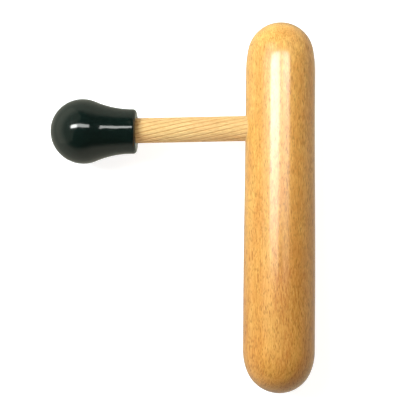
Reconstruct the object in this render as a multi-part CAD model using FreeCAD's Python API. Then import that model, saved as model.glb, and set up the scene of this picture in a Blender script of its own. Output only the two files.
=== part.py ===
"""T-shaped hand mallet: a thick beech bar to hold, a thin spiral-grooved beech dowel standing out of
its side, and a black pear-shaped knob on the dowel's far end. The dowel is glued into a blind socket at
each end, and nothing on the mallet moves.

Frame: the mallet lies as it does on a table. +Z is up and the table is z = 0, +Y runs along the bar
towards its short end, and the knob points along -X. The origin is the middle of the underside of the
whole mallet's box. Millimetres and degrees.

Each piece is built about the point where the stem's axis meets the bar's axis, and is moved to the
frame's origin last.
"""
import FreeCAD
import Part

import math
import os

from FreeCAD import Placement, Rotation, Vector

# Grip bar: turned beech with rounded ends, a little fuller in the long end, which the hand closes on.
BAR_LENGTH = 186.4
BAR_NECK_RADIUS = 17.4        # of the straight stretch near the short end
BAR_NECK_LENGTH = 10.0
BAR_GRIP_RADIUS = 18.1        # of the straight stretch near the long end
BAR_GRIP_LENGTH = 25.0
NOSE_EASE = 0.8               # how much tighter each end's tip is than the bar
SHORT_SHOULDER_RADIUS = 61.0  # of the soft curve from the bar's side into its tip
LONG_SHOULDER_RADIUS = 27.0

# Stem: half-inch beech dowel rolled with left-hand spiral grooves, which hold the glue.
STEM_RADIUS = 6.35
STEM_FROM_SHORT_END = 52.9    # along the bar, from its short end to the stem's axis
STEM_BARE_LENGTH = 55.0       # from the bar's side to the knob's face
STEM_LEAN = 1.4               # off square, towards the bar's long end
STEM_CHAMFER = 0.8
GROOVE_COUNT = 18
GROOVE_DEPTH = 0.25
GROOVE_ROUND = 0.5            # radius of a groove's bottom
GROOVE_SLOPE = 12.8           # between a groove and the stem's axis

# Sockets and glue.
BAR_SOCKET_DEPTH = 24.0
KNOB_SOCKET_DEPTH = 22.0
GLUE_FILM = 0.1               # clearance all round the dowel in both sockets
SOCKET_END_GAP = 1.0          # left at the bottom of each socket
GLUE_BEAD = 0.5               # fillet of squeezed-out glue where the stem enters the bar
KNOB_GLUE_RECESS = 0.6        # from the knob's face down to its glue

# Knob: a solid moulding, a ball that runs back into a slimmer neck.
KNOB_BALL_RADIUS = 16.35
KNOB_BALL_FROM_FACE = 27.05   # ball's centre to the flat face on the neck
KNOB_NECK_RADIUS = 11.3
KNOB_COLLAR_LENGTH = 2.2      # straight end of the neck, before the hollow curve to the ball
KNOB_RIM_RADIUS = 1.8
KNOB_MOUTH_CHAMFER = 0.3
KNOB_SKEW = 1.2               # turn about the stem's end, back towards square with the bar

OVERRUN = 5.0                 # how far a cutting tool runs past what it cuts

ALONG_BAR = Vector(0, 1, 0)
ALONG_STEM = Vector(0, 0, 1)  # while the stem's pieces are being built


def shoulder_run(bar_radius, shoulder_radius):
    """Length along the bar from the end of its straight side to the centre of its tip's arc."""
    nose_radius = bar_radius - NOSE_EASE
    return math.sqrt((shoulder_radius - nose_radius) ** 2 - (shoulder_radius - bar_radius) ** 2)


def tip_length(bar_radius, shoulder_radius):
    """Length along the bar from the end of its straight side to its tip."""
    return bar_radius - NOSE_EASE + shoulder_run(bar_radius, shoulder_radius)


# Places along the bar, from the stem's axis.
SHORT_TIP = STEM_FROM_SHORT_END
SHORT_SIDE_END = SHORT_TIP - tip_length(BAR_NECK_RADIUS, SHORT_SHOULDER_RADIUS)
NECK_END = SHORT_SIDE_END - BAR_NECK_LENGTH
LONG_TIP = SHORT_TIP - BAR_LENGTH
LONG_SIDE_END = LONG_TIP + tip_length(BAR_GRIP_RADIUS, LONG_SHOULDER_RADIUS)
GRIP_END = LONG_SIDE_END + BAR_GRIP_LENGTH


def bar_radius_at(y):
    """The bar's radius between its rounded ends: an even swell joins the neck to the grip."""
    share = min(max((NECK_END - y) / (NECK_END - GRIP_END), 0), 1)
    return BAR_NECK_RADIUS + (BAR_GRIP_RADIUS - BAR_NECK_RADIUS) * share ** 2 * (3 - 2 * share)


# Places along the stem, from the bar's axis.
BAR_SIDE = bar_radius_at(0)
BAR_SOCKET_END = BAR_SIDE - BAR_SOCKET_DEPTH
STEM_START = BAR_SOCKET_END + SOCKET_END_GAP
KNOB_FACE = BAR_SIDE + STEM_BARE_LENGTH
KNOB_SOCKET_END = KNOB_FACE + KNOB_SOCKET_DEPTH
STEM_END = KNOB_SOCKET_END - SOCKET_END_GAP
BALL_CENTRE = KNOB_FACE + KNOB_BALL_FROM_FACE
SOCKET_RADIUS = STEM_RADIUS + GLUE_FILM

# The knob is thinner than the bar, so the stem dips until the ball rests on the table as well.
BALL_OUT = (STEM_END * math.cos(math.radians(STEM_LEAN))
            + (BALL_CENTRE - STEM_END) * math.cos(math.radians(STEM_LEAN - KNOB_SKEW)))
STEM_DIP = math.degrees(math.asin((BAR_GRIP_RADIUS - KNOB_BALL_RADIUS) / BALL_OUT))

# The frame's origin, from the point where the two axes meet.
KNOB_TIP_X = -BALL_OUT * math.cos(math.radians(STEM_DIP)) - KNOB_BALL_RADIUS
ORIGIN = Vector((KNOB_TIP_X + BAR_GRIP_RADIUS) / 2, (SHORT_TIP + LONG_TIP) / 2, -BAR_GRIP_RADIUS)


def lay_stem(shape):
    """A copy of what is built along +Z, turned to point along -X with the stem's lean and dip."""
    level = Rotation(Vector(0, 1, 0), -90)
    lean = Rotation(Vector(0, 0, 1), STEM_LEAN)
    dip = Rotation(Vector(0, 1, 0), -STEM_DIP)
    laid = shape.copy()
    laid.Placement = Placement(Vector(), dip.multiply(lean).multiply(level))
    return laid


def stem_cylinder(radius, start, end):
    return Part.makeCylinder(radius, end - start, ALONG_STEM * start, ALONG_STEM)


def bar_tip_edges(bar_radius, shoulder_radius, tip, outward):
    """The shoulder and nose arcs of one bar end, outward being +1 for the short end, -1 for the long."""
    nose_radius = bar_radius - NOSE_EASE
    run = shoulder_run(bar_radius, shoulder_radius)
    nose_y = tip - outward * nose_radius
    shoulder_y = nose_y - outward * run
    join = math.asin(run / (shoulder_radius - nose_radius))

    def on_shoulder(turn):
        return Vector(bar_radius - shoulder_radius * (1 - math.cos(turn)),
                      shoulder_y + outward * shoulder_radius * math.sin(turn), 0)

    def on_nose(turn):
        return Vector(nose_radius * math.cos(turn), nose_y + outward * nose_radius * math.sin(turn), 0)

    shoulder = Part.Arc(on_shoulder(0), on_shoulder(join / 2), on_shoulder(join))
    nose = Part.Arc(on_nose(join), on_nose((join + math.pi / 2) / 2), on_nose(math.pi / 2))
    return [shoulder.toShape(), nose.toShape()]


def bar_blank():
    """The turned bar before its socket is drilled."""
    neck = Part.makeLine(Vector(BAR_NECK_RADIUS, SHORT_SIDE_END, 0), Vector(BAR_NECK_RADIUS, NECK_END, 0))
    grip = Part.makeLine(Vector(BAR_GRIP_RADIUS, GRIP_END, 0), Vector(BAR_GRIP_RADIUS, LONG_SIDE_END, 0))
    swell = Part.BezierCurve()
    swell.setPoles([
        Vector(BAR_NECK_RADIUS, NECK_END, 0),
        Vector(BAR_NECK_RADIUS, NECK_END + (GRIP_END - NECK_END) / 3, 0),
        Vector(BAR_GRIP_RADIUS, GRIP_END - (GRIP_END - NECK_END) / 3, 0),
        Vector(BAR_GRIP_RADIUS, GRIP_END, 0),
    ])
    axis = Part.makeLine(Vector(0, SHORT_TIP, 0), Vector(0, LONG_TIP, 0))
    edges = bar_tip_edges(BAR_NECK_RADIUS, SHORT_SHOULDER_RADIUS, SHORT_TIP, 1)
    edges += bar_tip_edges(BAR_GRIP_RADIUS, LONG_SHOULDER_RADIUS, LONG_TIP, -1)
    outline = Part.Wire(Part.__sortEdges__(edges + [neck, swell.toShape(), grip, axis]))
    return Part.Face(outline).revolve(Vector(), ALONG_BAR, 360)


def grooved_section(z):
    """The stem's outline across its axis: lands on the dowel's own circle, and round-bottomed grooves."""
    round_centre = STEM_RADIUS - GROOVE_DEPTH + GROOVE_ROUND
    half_groove = math.acos((STEM_RADIUS ** 2 + round_centre ** 2 - GROOVE_ROUND ** 2)
                            / (2 * STEM_RADIUS * round_centre))
    pitch = 2 * math.pi / GROOVE_COUNT

    def at(radius, turn):
        return Vector(radius * math.cos(turn), radius * math.sin(turn), z)

    edges = []
    for i in range(GROOVE_COUNT):
        turn = i * pitch
        groove = Part.Arc(at(STEM_RADIUS, turn - half_groove),
                          at(STEM_RADIUS - GROOVE_DEPTH, turn),
                          at(STEM_RADIUS, turn + half_groove))
        land = Part.Arc(at(STEM_RADIUS, turn + half_groove),
                        at(STEM_RADIUS, turn + pitch / 2),
                        at(STEM_RADIUS, turn + pitch - half_groove))
        edges += [groove.toShape(), land.toShape()]
    return Part.Wire(edges)


def stem_dowel():
    """The grooved section swept along the stem with a left-hand twist, its ends chamfered."""
    twist_pitch = 2 * math.pi * STEM_RADIUS / math.tan(math.radians(GROOVE_SLOPE))
    twist = Part.makeHelix(twist_pitch, STEM_END - STEM_START, STEM_RADIUS, 0, True)
    twist.translate(ALONG_STEM * STEM_START)
    spine = Part.Wire(Part.makeLine(ALONG_STEM * STEM_START, ALONG_STEM * STEM_END))
    sweep = Part.BRepOffsetAPI.MakePipeShell(spine)
    sweep.setAuxiliarySpine(Part.Wire(twist.Edges), True, 0)
    sweep.add(grooved_section(STEM_START))
    sweep.build()
    sweep.makeSolid()
    # The chamfers come from a slightly thicker cylinder, so that only they touch the grooved side.
    thicker = stem_cylinder(STEM_RADIUS + GLUE_FILM, STEM_START, STEM_END)
    rims = [edge for edge in thicker.Edges if edge.Curve.TypeId == "Part::GeomCircle"]
    return lay_stem(sweep.shape().common(thicker.makeChamfer(STEM_CHAMFER + GLUE_FILM, rims)))


def knob_blank():
    """The turned outline of the knob: face, straight collar, hollow curve and ball."""
    hollow_run = KNOB_BALL_FROM_FACE - KNOB_COLLAR_LENGTH
    hollow_radius = (hollow_run ** 2 / (KNOB_BALL_RADIUS - KNOB_NECK_RADIUS)
                     - KNOB_BALL_RADIUS - KNOB_NECK_RADIUS) / 2
    join = math.asin(hollow_run / (hollow_radius + KNOB_BALL_RADIUS))

    def on_hollow(turn):
        return Vector(KNOB_NECK_RADIUS + hollow_radius * (1 - math.cos(turn)), 0,
                      KNOB_FACE + KNOB_COLLAR_LENGTH + hollow_radius * math.sin(turn))

    def on_ball(turn):
        return Vector(KNOB_BALL_RADIUS * math.cos(turn), 0, BALL_CENTRE + KNOB_BALL_RADIUS * math.sin(turn))

    face_centre = ALONG_STEM * KNOB_FACE
    face_rim = face_centre + Vector(KNOB_NECK_RADIUS, 0, 0)
    tip = on_ball(math.pi / 2)
    outline = Part.Wire([
        Part.makeLine(face_centre, face_rim),
        Part.makeLine(face_rim, on_hollow(0)),
        Part.Arc(on_hollow(0), on_hollow(join / 2), on_hollow(join)).toShape(),
        Part.Arc(on_ball(-join), on_ball(math.pi / 4), tip).toShape(),
        Part.makeLine(tip, face_centre),
    ])
    solid = Part.Face(outline).revolve(Vector(), ALONG_STEM, 360)
    rim = [edge for edge in solid.Edges if not edge.Degenerated and edge.BoundBox.ZMax < KNOB_FACE + GLUE_FILM
           and edge.BoundBox.ZLength < GLUE_FILM and edge.Length > 6 * KNOB_NECK_RADIUS]
    return solid.makeFillet(KNOB_RIM_RADIUS, rim)


def knob():
    """The knob, turned by its skew, with its socket and the socket's chamfered mouth on the stem's axis."""
    blank = knob_blank()
    blank.rotate(ALONG_STEM * STEM_END, Vector(1, 0, 0), -KNOB_SKEW)
    socket = stem_cylinder(SOCKET_RADIUS, KNOB_FACE - OVERRUN, KNOB_SOCKET_END)
    mouth = Part.makeCone(SOCKET_RADIUS + 2 * KNOB_MOUTH_CHAMFER, SOCKET_RADIUS, 2 * KNOB_MOUTH_CHAMFER,
                          ALONG_STEM * (KNOB_FACE - KNOB_MOUTH_CHAMFER), ALONG_STEM)
    return lay_stem(blank.cut([socket, mouth]))


def bar_glue(blank, bar, stem):
    """Glue round the stem in the bar's socket, with a bead where it squeezed out of the grooves."""
    root_radius = STEM_RADIUS - GROOVE_DEPTH - GLUE_FILM
    root = lay_stem(stem_cylinder(root_radius, BAR_SOCKET_END, KNOB_FACE))
    rooted = blank.fuse(root)
    seam = [edge for edge in rooted.Edges if is_seam(edge, root_radius)]
    beaded = rooted.makeFillet(STEM_RADIUS + GLUE_BEAD - root_radius, seam)
    reach = lay_stem(stem_cylinder(STEM_RADIUS + 2 * GLUE_BEAD, STEM_START, KNOB_FACE))
    return beaded.common(reach).cut([bar, stem])


def is_seam(edge, radius):
    """True for the closed curve where a cylinder on the stem's axis comes out of the bar's side."""
    middle = edge.valueAt((edge.FirstParameter + edge.LastParameter) / 2)
    stem_way = lay_stem(Part.Vertex(ALONG_STEM)).Point
    on_cylinder = abs(middle.cross(stem_way).Length - radius) < GLUE_FILM
    return on_cylinder and abs(math.hypot(middle.x, middle.z) - bar_radius_at(middle.y)) < GLUE_FILM


def knob_glue(stem):
    sleeve = lay_stem(stem_cylinder(SOCKET_RADIUS, KNOB_FACE + KNOB_GLUE_RECESS, STEM_END))
    return sleeve.cut(stem)


def main():
    blank = bar_blank()
    bar = blank.cut(lay_stem(stem_cylinder(SOCKET_RADIUS, BAR_SOCKET_END, BAR_SIDE + OVERRUN)))
    stem = stem_dowel()
    pieces = {
        "grip_bar": bar,
        "stem_dowel": stem,
        "tip_knob": knob(),
        "bar_glue": bar_glue(blank, bar, stem),
        "knob_glue": knob_glue(stem),
    }
    os.makedirs("parts", exist_ok=True)
    for node, shape in pieces.items():
        shape.translate(-ORIGIN)
        shape.exportStep(f"parts/{node}.step")


main()
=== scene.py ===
"""Looks of the T-handled hand mallet: turned and varnished beech bar, bare spiral-grooved beech dowel
and gloss black knob, lying on a white studio table. Metres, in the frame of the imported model."""

import math

import bpy
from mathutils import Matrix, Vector


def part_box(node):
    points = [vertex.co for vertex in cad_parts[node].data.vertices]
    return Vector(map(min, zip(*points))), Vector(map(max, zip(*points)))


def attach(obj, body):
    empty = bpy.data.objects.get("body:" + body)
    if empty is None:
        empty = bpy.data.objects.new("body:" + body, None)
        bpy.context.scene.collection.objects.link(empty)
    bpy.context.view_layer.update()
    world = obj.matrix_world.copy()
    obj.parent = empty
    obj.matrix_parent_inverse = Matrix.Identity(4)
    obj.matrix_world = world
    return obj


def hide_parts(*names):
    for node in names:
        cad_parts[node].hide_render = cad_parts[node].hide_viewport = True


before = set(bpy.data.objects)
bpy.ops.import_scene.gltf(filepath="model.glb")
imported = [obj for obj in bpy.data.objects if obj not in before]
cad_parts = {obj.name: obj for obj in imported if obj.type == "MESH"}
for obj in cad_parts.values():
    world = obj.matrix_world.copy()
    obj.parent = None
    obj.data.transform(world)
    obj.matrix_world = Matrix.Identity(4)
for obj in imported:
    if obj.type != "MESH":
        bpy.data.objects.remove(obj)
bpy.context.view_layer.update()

MM = 0.001

# Grip bar.
NECK_RADIUS = 17.4 * MM       # of the straight stretch near the short end
NECK_LENGTH = 10.0 * MM
GRIP_LENGTH = 25.0 * MM       # of the straight stretch near the long end
NOSE_EASE = 0.8 * MM          # how much tighter each end's tip is than the bar
SHORT_SHOULDER_RADIUS = 61.0 * MM
LONG_SHOULDER_RADIUS = 27.0 * MM

# Stem, and the sockets that it is glued into.
STEM_FROM_SHORT_END = 52.9 * MM
STEM_LEAN = math.radians(1.4)
STEM_BARE_LENGTH = 55.0 * MM
SOCKET_RADIUS = 6.45 * MM
BAR_SOCKET_DEPTH = 24.0 * MM
KNOB_SOCKET_DEPTH = 22.0 * MM
MOUTH_CHAMFER = 0.3 * MM
OVERRUN = 5.0 * MM            # how far a drill starts outside what it cuts

# Knob.
BALL_FROM_FACE = 27.05 * MM
KNOB_NECK_RADIUS = 11.3 * MM
COLLAR_LENGTH = 2.2 * MM
RIM_RADIUS = 1.8 * MM
KNOB_SKEW = math.radians(1.2)

# Steps that outlines and turns are cut into, how near two points are the same one, and the sharpest
# edge that is shaded smooth.
NOSE_STEPS = 22
SHOULDER_STEPS = 10
SWELL_STEPS = 40
RIM_STEPS = 12
HOLLOW_STEPS = 24
BALL_STEPS = 56
LATHE_STEPS = 128
DRILL_STEPS = 64
SAME_POINT = 0.01 * MM
WELD = 0.001 * MM
SMOOTH_ANGLE = math.radians(25)

# Studio. The wall is a closed drum that starts a little below the table.
TABLE_SIZE = 16.0
WALL_RADIUS = 7.0
WALL_HEIGHT = 14.0
WALL_SUNK = 0.1
PANEL_HEIGHT = 0.6
KNOB_GLOW_SIZES = ((2.4, 1.6), (1.9, 1.25), (1.4, 0.9), (0.9, 0.55))
COOL = (0.87, 0.88, 1.0)
NEUTRAL = (0.98, 1.0, 0.97)

# Camera.
CAMERA_X = 12.76 * MM
CAMERA_Y = -0.34 * MM
CAMERA_OVER_BAR_AXIS = 466.0 * MM
CAMERA_TURN = math.radians(0.34)
LENS = 80.0
SENSOR_WIDTH = 36.0

# Where the axes of bar and stem cross, and where the knob's ball is.
BAR_LOW, BAR_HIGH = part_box("grip_bar")
KNOB_LOW, KNOB_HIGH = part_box("tip_knob")
BAR_LENGTH = BAR_HIGH.y - BAR_LOW.y
GRIP_RADIUS = (BAR_HIGH.z - BAR_LOW.z) / 2
BALL_RADIUS = (KNOB_HIGH.z - KNOB_LOW.z) / 2
CROSSING = Vector((BAR_HIGH.x - GRIP_RADIUS, BAR_HIGH.y - STEM_FROM_SHORT_END, GRIP_RADIUS))
BALL_CENTRE = Vector((KNOB_LOW.x + BALL_RADIUS, (KNOB_LOW.y + KNOB_HIGH.y) / 2, BALL_RADIUS))
STEM_DIP = math.asin((GRIP_RADIUS - BALL_RADIUS) / (CROSSING.x - BALL_CENTRE.x))


def out_from_bar(lean):
    """The way that an axis with the stem's dip and this lean points from the bar."""
    level = math.cos(lean)
    return Vector((-level * math.cos(STEM_DIP), -math.sin(lean), -level * math.sin(STEM_DIP)))


def arc(centre, radius, start, end, steps):
    """Points (along, out) of an arc; an angle of 0 points outwards and a quarter turn along the axis."""
    points = []
    for i in range(steps + 1):
        turn = start + (end - start) * i / steps
        points.append((centre[0] + radius * math.sin(turn), centre[1] + radius * math.cos(turn)))
    return points


def joined(*runs):
    """One list of points from several, without the points they share."""
    points = []
    for run in runs:
        points += [point for point in run if not points or math.dist(point, points[-1]) > SAME_POINT]
    return points


def bar_end(bar_radius, shoulder_radius):
    """Outline of one rounded end, from its tip at 0 to where its side is straight."""
    nose_radius = bar_radius - NOSE_EASE
    run = math.sqrt((shoulder_radius - nose_radius) ** 2 - (shoulder_radius - bar_radius) ** 2)
    join = math.asin(run / (shoulder_radius - nose_radius))
    nose = arc((nose_radius, 0), nose_radius, -math.pi / 2, -join, NOSE_STEPS)
    shoulder_centre = (nose_radius + run, bar_radius - shoulder_radius)
    return joined(nose, arc(shoulder_centre, shoulder_radius, -join, 0, SHOULDER_STEPS))


def swell_radius(share):
    """The bar's radius at a share of the way from its neck to its grip."""
    return NECK_RADIUS + (GRIP_RADIUS - NECK_RADIUS) * share ** 2 * (3 - 2 * share)


ALONG_BAR = Vector((0, -1, 0))
ALONG_STEM = out_from_bar(STEM_LEAN)
ALONG_KNOB = out_from_bar(STEM_LEAN - KNOB_SKEW)

# The bar's two ends and the swell between them, along the bar from its short end.
SHORT_END = bar_end(NECK_RADIUS, SHORT_SHOULDER_RADIUS)
LONG_END = [(BAR_LENGTH - along, out) for along, out in reversed(bar_end(GRIP_RADIUS, LONG_SHOULDER_RADIUS))]
NECK_END = SHORT_END[-1][0] + NECK_LENGTH
GRIP_END = LONG_END[0][0] - GRIP_LENGTH

# Along the stem from the crossing.
BAR_SIDE = swell_radius((STEM_FROM_SHORT_END - NECK_END) / (GRIP_END - NECK_END))
KNOB_FACE = BAR_SIDE + STEM_BARE_LENGTH


def turned(name, start, axis, outline, steps):
    """A piece made on the lathe: points (along, out) measured from start are spun about the axis."""
    side = axis.orthogonal().normalized()
    places = [start + axis * along + side * out for along, out in outline]
    bpy.ops.object.select_all(action="DESELECT")
    bpy.ops.mesh.primitive_plane_add(size=MM, location=places[0])
    piece = bpy.context.object
    piece.name = name
    bpy.ops.object.mode_set(mode="EDIT")
    bpy.ops.mesh.select_all(action="SELECT")
    bpy.ops.mesh.merge(type="CENTER")
    for here, there in zip(places, places[1:]):
        bpy.ops.mesh.extrude_vertices_move(TRANSFORM_OT_translate={"value": there - here})
    bpy.ops.mesh.select_all(action="SELECT")
    bpy.ops.mesh.spin(steps=steps, angle=2 * math.pi, center=start, axis=axis)
    bpy.ops.mesh.select_all(action="SELECT")
    bpy.ops.mesh.remove_doubles(threshold=WELD)
    bpy.ops.mesh.normals_make_consistent(inside=False)
    bpy.ops.object.mode_set(mode="OBJECT")
    bpy.ops.object.transform_apply(location=True, rotation=True, scale=True)
    return piece


def drill(piece, cutter):
    """Cuts the cutter's shape out of the piece, and throws the cutter away."""
    bpy.ops.object.select_all(action="DESELECT")
    bpy.context.view_layer.objects.active = piece
    piece.select_set(True)
    bpy.ops.object.modifier_add(type="BOOLEAN")
    hole = piece.modifiers[-1]
    hole.operation = "DIFFERENCE"
    hole.solver = "EXACT"
    hole.object = cutter
    bpy.ops.object.modifier_apply(modifier=hole.name)
    bpy.ops.object.shade_smooth_by_angle(angle=SMOOTH_ANGLE)
    bpy.data.objects.remove(cutter)


def grip_bar():
    """The turned bar, a little fuller in the long end, with the stem's socket drilled in its side."""
    swell = []
    for i in range(SWELL_STEPS + 1):
        share = i / SWELL_STEPS
        swell.append((NECK_END + (GRIP_END - NECK_END) * share, swell_radius(share)))
    tip = Vector((CROSSING.x, BAR_HIGH.y, CROSSING.z))
    piece = turned("turned_grip_bar", tip, ALONG_BAR, joined(SHORT_END, swell, LONG_END), LATHE_STEPS)
    bottom = BAR_SIDE - BAR_SOCKET_DEPTH
    outside = BAR_SIDE + OVERRUN
    socket = [(bottom, 0), (bottom, SOCKET_RADIUS), (outside, SOCKET_RADIUS), (outside, 0)]
    drill(piece, turned("bar_drill", CROSSING, ALONG_STEM, socket, DRILL_STEPS))
    return piece


def tip_knob():
    """The moulded knob: face, rounded rim, straight collar, hollow neck and ball, with its socket."""
    run = BALL_FROM_FACE - COLLAR_LENGTH
    hollow_radius = (run ** 2 / (BALL_RADIUS - KNOB_NECK_RADIUS) - BALL_RADIUS - KNOB_NECK_RADIUS) / 2
    join = math.asin(run / (hollow_radius + BALL_RADIUS))
    face_radius = KNOB_NECK_RADIUS - RIM_RADIUS
    rim = arc((RIM_RADIUS, face_radius), RIM_RADIUS, -math.pi / 2, 0, RIM_STEPS)
    hollow = []
    for i in range(HOLLOW_STEPS + 1):
        turn = join * i / HOLLOW_STEPS
        hollow.append((COLLAR_LENGTH + hollow_radius * math.sin(turn),
                       KNOB_NECK_RADIUS + hollow_radius * (1 - math.cos(turn))))
    ball = arc((BALL_FROM_FACE, 0), BALL_RADIUS, -join, math.pi / 2, BALL_STEPS)
    outline = joined([(0, 0), (0, face_radius)], rim, hollow, ball)
    start = BALL_CENTRE - ALONG_KNOB * BALL_FROM_FACE
    piece = turned("moulded_tip_knob", start, ALONG_KNOB, outline, LATHE_STEPS)
    outside = KNOB_FACE - OVERRUN
    bottom = KNOB_FACE + KNOB_SOCKET_DEPTH
    mouth_radius = SOCKET_RADIUS + 2 * MOUTH_CHAMFER
    socket = [(outside, 0), (outside, mouth_radius), (KNOB_FACE - MOUTH_CHAMFER, mouth_radius),
              (KNOB_FACE + MOUTH_CHAMFER, SOCKET_RADIUS), (bottom, SOCKET_RADIUS), (bottom, 0)]
    drill(piece, turned("knob_drill", CROSSING, ALONG_STEM, socket, DRILL_STEPS))
    return piece


class Recipe:
    """A material's node tree, built a node at a time."""

    def __init__(self, name):
        self.material = bpy.data.materials.new(name)
        self.material.use_nodes = True
        self.nodes = self.material.node_tree.nodes
        self.links = self.material.node_tree.links
        self.shader = self.nodes["Principled BSDF"]

    def set(self, **values):
        """Sets the shader's own sockets, named with underscores for spaces."""
        for name, value in values.items():
            self.plug(self.shader.inputs[name.replace("_", " ")], value)

    def add(self, kind, inputs, **settings):
        """Adds a node, sets its inputs from sockets or plain values, and returns it."""
        node = self.nodes.new(kind)
        for name, value in settings.items():
            setattr(node, name, value)
        for name, value in inputs.items():
            self.plug(node.inputs[name], value)
        return node

    def plug(self, socket, value):
        if isinstance(value, bpy.types.NodeSocket):
            self.links.new(value, socket)
        else:
            socket.default_value = value

    def math(self, operation, a, b=0.0, c=0.0):
        return self.add("ShaderNodeMath", {0: a, 1: b, 2: c}, operation=operation).outputs[0]

    def total(self, *terms):
        """The sum of value times weight."""
        result = 0.0
        for value, weight in terms:
            result = self.math("MULTIPLY_ADD", value, weight, result)
        return result

    def vector(self, operation, a, b):
        return self.add("ShaderNodeVectorMath", {0: a, 1: b}, operation=operation).outputs[0]

    def split(self, vector):
        return self.add("ShaderNodeSeparateXYZ", {0: vector}).outputs

    def fade(self, value, start, end):
        """0 at start, 1 at end, smooth between."""
        node = self.add("ShaderNodeMapRange", {"Value": value, "From Min": start, "From Max": end},
                        interpolation_type="SMOOTHSTEP")
        return node.outputs["Result"]

    def stretch(self, vector, x, y, z):
        """The vector divided by a size along each axis, so that a pattern of size 1 becomes that size."""
        node = self.add("ShaderNodeMapping", {"Vector": vector, "Scale": (1 / x, 1 / y, 1 / z)})
        return node.outputs["Vector"]

    def cloud(self, vector, detail, roughness=0.5):
        """A noise node, whose patches are about as large as the vector's unit."""
        return self.add("ShaderNodeTexNoise", {"Vector": vector, "Scale": 1.0, "Detail": detail,
                                               "Roughness": roughness})

    def noise(self, vector, detail=2.0, roughness=0.5):
        """Noise about 0."""
        return self.math("SUBTRACT", self.cloud(vector, detail, roughness).outputs["Fac"], 0.5)

    def mix(self, factor, a, b, blend="MIX"):
        """Two colours mixed; a mix node keeps its colours in inputs 6 and 7 and in output 2."""
        node = self.add("ShaderNodeMix", {"Factor": factor}, data_type="RGBA", blend_type=blend)
        self.plug(node.inputs[6], a)
        self.plug(node.inputs[7], b)
        return node.outputs[2]

    def tinted(self, factor, colour, tint):
        """The colour multiplied by a tint, as far as factor says."""
        return self.mix(factor, colour, self.mix(1.0, colour, tint, "MULTIPLY"))

    def bump(self, height, strength, distance):
        return self.add("ShaderNodeBump", {"Height": height, "Strength": strength,
                                           "Distance": distance}).outputs["Normal"]

    def place(self, turn=(0, 0, 0), shift=(0, 0, 0)):
        """The place on the piece in millimetres from the crossing, turned and then shifted."""
        place = self.add("ShaderNodeTexCoord", {}).outputs["Object"]
        from_crossing = self.vector("SUBTRACT", place, CROSSING)
        return self.add("ShaderNodeMapping", {"Vector": from_crossing, "Location": shift, "Rotation": turn,
                                              "Scale": (1000, 1000, 1000)}).outputs["Vector"]


def wander(recipe, log, size, detail, amount):
    """How far the fibres stray sideways, in waves of a size (x, y, z)."""
    wave = recipe.cloud(recipe.stretch(log, *size), detail).outputs["Color"]
    return recipe.vector("MULTIPLY", recipe.vector("SUBTRACT", wave, (0.5, 0.5, 0.5)), (amount, 0.0, amount))


def log_place(recipe, turn, pith, sway):
    """The place in the log that the piece was cut from, and how far out from the log's pith it is.

    The place is (round the pith, along it, out from it). turn lays the grain along Y, pith is where
    the crossing lies in the log, and sway is how far the fibres wander from straight. Millimetres.
    """
    log = recipe.place(turn, pith)
    slow = wander(recipe, log, (18, 46, 18), 2.0, sway)
    quick = wander(recipe, log, (4, 9, 4), 1.0, 1.2)
    x, along, z = recipe.split(recipe.vector("ADD", recipe.vector("ADD", log, slow), quick))
    out = recipe.math("SQRT", recipe.math("MULTIPLY_ADD", x, x, recipe.math("MULTIPLY", z, z)))
    around = recipe.math("MULTIPLY", recipe.math("ARCTAN2", x, z), math.hypot(pith[0], pith[2]))
    return recipe.add("ShaderNodeCombineXYZ", {0: around, 1: along, 2: out}).outputs[0], out


def rays(recipe, grain, size, share):
    """Spots of a size round the log, along it and out from it, in a share of the places for one."""
    cells = recipe.add("ShaderNodeTexVoronoi", {"Vector": recipe.stretch(grain, *size), "Scale": 1.0},
                       feature="F1", distance="EUCLIDEAN")
    spot = recipe.fade(cells.outputs["Distance"], 0.46, 0.14)
    lot = recipe.add("ShaderNodeSeparateColor", {0: cells.outputs["Color"]}).outputs[0]
    return recipe.math("MULTIPLY", spot, recipe.fade(lot, 1 - share - 0.15, 1 - share + 0.15))


def beech(recipe, turn, pith, sway, pale, deep, ray_colour, ray_strength):
    """Colour and relief of beech. Every size is in millimetres round the log, along it and out."""
    grain, out = log_place(recipe, turn, pith, sway)
    # Slow changes of tone, growth rings, blotches, streaks a few fibres wide, and pores.
    slow = recipe.noise(recipe.stretch(grain, 8, 60, 8))
    ring = recipe.total((out, 0.35), (recipe.noise(recipe.stretch(grain, 25, 70, 4)), 1.5))
    ring = recipe.math("PINGPONG", ring, 1.0)
    mottle = recipe.noise(recipe.stretch(grain, 1.3, 4.5, 2.0))
    streak = recipe.noise(recipe.stretch(grain, 0.5, 6, 0.5), roughness=0.6)
    pore = recipe.noise(recipe.stretch(grain, 0.14, 1.5, 0.14))
    tone = recipe.total((slow, 0.55), (ring, 0.12), (mottle, 0.25), (streak, 1.15), (pore, 0.8))
    colour = recipe.mix(recipe.fade(tone, -0.4, 0.55), pale, deep)
    hue = recipe.noise(recipe.stretch(grain, 5, 22, 5), detail=1.0)
    colour = recipe.tinted(recipe.fade(hue, -0.15, 0.15), colour, (1.0, 0.94, 0.93, 1))
    # Beech's rays: long ones, and more of a shorter and fainter kind.
    long_rays = rays(recipe, grain, (0.55, 4.0, 5.0), 0.35)
    short_rays = rays(recipe, grain, (0.42, 2.3, 3.0), 0.65)
    ray = recipe.math("MAXIMUM", long_rays, recipe.math("MULTIPLY", short_rays, 0.85))
    colour = recipe.mix(recipe.math("MULTIPLY", ray, ray_strength), colour, ray_colour)
    relief = recipe.total((ray, -0.5), (pore, 1.0), (streak, 0.8))
    return colour, relief


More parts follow.
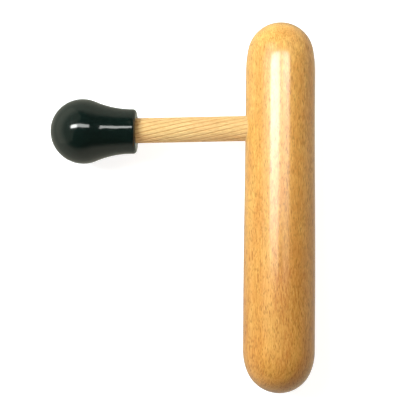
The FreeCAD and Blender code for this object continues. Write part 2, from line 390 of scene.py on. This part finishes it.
def varnished_beech():
    """Beech under a clear gloss coat, with painted shade that makes it darker and redder towards the bar's
    long end.
    """
    recipe = Recipe("varnished_beech")
    colour, relief = beech(recipe, turn=(0, 0, 0), pith=(8.0, 0.0, 75.0), sway=5.0,
                           pale=(0.81, 0.474, 0.121, 1), deep=(0.53, 0.212, 0.040, 1),
                           ray_colour=(0.28, 0.10, 0.016, 1), ray_strength=0.68)
    place = recipe.place()
    # Painted shade: the colour is darkened and reddened towards the bar's long end.
    painted_shade_to_long_end = recipe.fade(recipe.split(place)[1], 60, -150)
    colour = recipe.mix(painted_shade_to_long_end, colour, (0.84, 0.72, 0.58, 1), "MULTIPLY")
    skin = recipe.noise(recipe.stretch(place, 1.6, 5, 1.6))
    recipe.set(Base_Color=colour, Normal=recipe.bump(relief, 0.1, 0.2 * MM), Roughness=0.42,
               Specular_IOR_Level=0.1, Coat_Weight=1.0, Coat_Roughness=0.15, Coat_IOR=1.5,
               Coat_Normal=recipe.bump(skin, 0.12, 0.2 * MM))
    return recipe.material


def bare_beech():
    """Beech with the grain along the stem, with painted shade that makes it darker in the grooves, where it
    lies nearer the stem's axis.
    """
    recipe = Recipe("bare_beech")
    colour, relief = beech(recipe, turn=(0, 0, math.pi / 2), pith=(30.0, 0.0, 50.0), sway=3.0,
                           pale=(0.68, 0.455, 0.20, 1), deep=(0.52, 0.31, 0.112, 1),
                           ray_colour=(0.42, 0.24, 0.075, 1), ray_strength=0.4)
    inward = recipe.vector("CROSS_PRODUCT", recipe.place(), ALONG_STEM)
    radius = recipe.add("ShaderNodeVectorMath", {0: inward}, operation="LENGTH").outputs["Value"]
    land, groove = 6.3, 6.08
    # Painted shade: the colour is darkened in the grooves, nearer the stem's axis.
    colour = recipe.tinted(recipe.fade(radius, land, groove), colour, (0.80, 0.70, 0.58, 1))
    recipe.set(Base_Color=colour, Normal=recipe.bump(relief, 0.3, 0.2 * MM), Roughness=0.6,
               Specular_IOR_Level=0.3)
    return recipe.material


def black_plastic():
    recipe = Recipe("black_plastic")
    swirl = recipe.noise(recipe.stretch(recipe.place(), 6, 6, 6), detail=1.0)
    recipe.set(Base_Color=(0.003, 0.0075, 0.006, 1), Roughness=0.1, IOR=1.6,
               Normal=recipe.bump(swirl, 0.2, 1.0 * MM))
    return recipe.material


def dried_glue():
    recipe = Recipe("dried_glue")
    lump = recipe.noise(recipe.stretch(recipe.place(), 0.8, 0.8, 0.8), detail=3.0)
    colour = recipe.mix(recipe.fade(lump, -0.2, 0.2), (0.72, 0.46, 0.19, 1), (0.48, 0.27, 0.09, 1))
    recipe.set(Base_Color=colour, Roughness=0.35, Normal=recipe.bump(lump, 0.5, 0.2 * MM))
    return recipe.material


def dress(piece, material):
    """Gives a piece its material all over."""
    piece.data.materials.clear()
    piece.data.materials.append(material)


def white_stage(name, base, glow):
    """Makes the object just added part of the stage: white, glowing a little, and not mirrored."""
    piece = bpy.context.object
    piece.name = name
    recipe = Recipe(name)
    recipe.set(Base_Color=(base, base, base, 1), Roughness=0.9,
               Emission_Color=(1, 1, 1, 1), Emission_Strength=glow)
    dress(piece, recipe.material)
    piece.visible_glossy = False
    return piece


def studio():
    """The white table top, and a white wall far round it that only the camera sees."""
    bpy.ops.object.select_all(action="DESELECT")
    bpy.ops.mesh.primitive_plane_add(size=TABLE_SIZE, location=(0, 0, 0))
    white_stage("table_top", 0.5, 0.83)
    bpy.ops.object.select_all(action="DESELECT")
    bpy.ops.mesh.primitive_cylinder_add(vertices=64, radius=WALL_RADIUS, depth=WALL_HEIGHT,
                                        location=(0, 0, WALL_HEIGHT / 2 - WALL_SUNK))
    wall = white_stage("wall", 0.0, 0.89)
    wall.visible_diffuse = False
    wall.visible_shadow = False


def softbox(name, place, size, radiance, tint=(1, 1, 1), aim=None, gloss=False, only=None):
    """A flat light of an even brightness, facing down or aimed at a place.

    It lights everything or only the pieces named. With gloss it is mirrored in them instead.
    """
    light = bpy.data.lights.new(name, "AREA")
    light.shape = "RECTANGLE"
    light.size, light.size_y = size
    light.energy = radiance * math.pi * size[0] * size[1]
    light.color = tint
    box = bpy.data.objects.new(name, light)
    bpy.context.scene.collection.objects.link(box)
    box.location = place
    box.visible_diffuse = not gloss
    box.visible_glossy = gloss
    if only is not None:
        group = bpy.data.collections.new(name)
        for piece in only:
            group.objects.link(piece)
        box.light_linking.receiver_collection = group
    if aim is not None:
        box.rotation_mode = "QUATERNION"
        box.rotation_quaternion = (box.location - Vector(aim)).to_track_quat("Z", "Y")


def panel(name, left, right, bands, tint, piece):
    """A panel overhead that only one piece mirrors, in bands (low, high, radiance) along the bar."""
    for i, (low, high, radiance) in enumerate(bands):
        softbox(f"{name}_{i}", ((left + right) / 2, (low + high) / 2, PANEL_HEIGHT),
                (right - left, high - low), radiance, tint, gloss=True, only=[piece])


def studio_lights(bar, knob, stem):
    """A key light at the left, fills, one of them for the stem alone, and what the gloss mirrors."""
    middle = (CROSSING.x, 0.0, CROSSING.z)
    softbox("key", (-0.38, 0.27, 0.50), (0.40, 0.40), 16.3, (0.87, 0.99, 1.03), aim=middle)
    softbox("fill", (0.0, -0.10, 1.0), (1.2, 1.2), 0.80, (1.0, 0.92, 0.82), aim=middle)
    softbox("right_fill", (0.25, 0.35, 0.30), (0.25, 0.25), 3.6, (1.0, 0.95, 0.85), aim=middle)
    softbox("stem_fill", (-0.02, -0.45, 0.40), (0.3, 0.3), 4.2, aim=middle, only=[stem])
    # The bar mirrors a bright panel and a second one beside it, both dying away down the bar.
    main = ((0.10, 0.33, 16.5), (0.06, 0.10, 13.5), (0.02, 0.06, 9.0), (-0.02, 0.02, 7.0),
            (-0.05, -0.02, 4.5), (-0.08, -0.05, 1.5))
    second = ((0.13, 0.33, 10.5), (0.06, 0.13, 5.5), (0.0, 0.06, 3.6), (-0.08, 0.0, 1.5))
    panel("bar_main", -0.37, -0.025, main, COOL, bar)
    panel("bar_left", -1.20, -0.37, ((-0.20, 0.35, 0.8),), COOL, bar)
    panel("bar_gap", -0.025, 0.10, ((0.10, 0.33, 6.0), (0.0, 0.10, 3.6)), COOL, bar)
    panel("bar_second", 0.10, 0.33, second, COOL, bar)
    # The knob mirrors two panels, and at its left a broad glow that fades towards its edge.
    panel("knob_left", -0.47, -0.20, ((0.13, 0.25, 20.0),), NEUTRAL, knob)
    panel("knob_right", -0.20, 0.27, ((0.15, 0.28, 7.0),), NEUTRAL, knob)
    for i, size in enumerate(KNOB_GLOW_SIZES):
        softbox(f"knob_glow_{i}", (-0.85, 0.30, 0.50), size, 0.22, (1.0, 1.0, 0.8), aim=middle,
                gloss=True, only=[knob])


def surroundings():
    """What the gloss mirrors beyond the panels: pale near the horizon and dark overhead."""
    world = bpy.data.worlds.new("studio")
    world.use_nodes = True
    world.cycles_visibility.diffuse = False
    bpy.context.scene.world = world
    nodes, links = world.node_tree.nodes, world.node_tree.links
    way = nodes.new("ShaderNodeTexCoord")
    split = nodes.new("ShaderNodeSeparateXYZ")
    # From is the upward part of the way looked at, To the brightness there.
    height = nodes.new("ShaderNodeMapRange")
    height.interpolation_type = "SMOOTHSTEP"
    for name, value in (("From Min", 0.1), ("From Max", 0.55), ("To Min", 0.47), ("To Max", 0.03)):
        height.inputs[name].default_value = value
    background = nodes["Background"]
    background.inputs["Color"].default_value = (1.0, 1.0, 0.82, 1)
    links.new(way.outputs["Generated"], split.inputs[0])
    links.new(split.outputs[2], height.inputs["Value"])
    links.new(height.outputs["Result"], background.inputs["Strength"])


def camera():
    """Straight above, with the picture's top towards +Y."""
    eye = bpy.data.cameras.new("camera")
    eye.lens = LENS
    eye.sensor_width = SENSOR_WIDTH
    eye.clip_start, eye.clip_end = 0.01, 20.0
    holder = bpy.data.objects.new("camera", eye)
    bpy.context.scene.collection.objects.link(holder)
    holder.location = (CAMERA_X, CAMERA_Y, GRIP_RADIUS + CAMERA_OVER_BAR_AXIS)
    holder.rotation_euler = (0, 0, CAMERA_TURN)
    bpy.context.scene.camera = holder


bar, knob = grip_bar(), tip_knob()
for piece, node, slot, material in (
        (bar, "grip_bar", "varnished_beech", varnished_beech()),
        (knob, "tip_knob", "black_plastic", black_plastic())):
    dress(piece, material)
    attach(piece, "root")
    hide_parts(node)
dress(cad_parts["stem_dowel"], bare_beech())
glue = dried_glue()
dress(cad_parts["bar_glue"], glue)
dress(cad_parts["knob_glue"], glue)
studio()
studio_lights(bar, knob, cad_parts["stem_dowel"])
surroundings()
camera()
bpy.context.scene.view_settings.view_transform = "Standard"
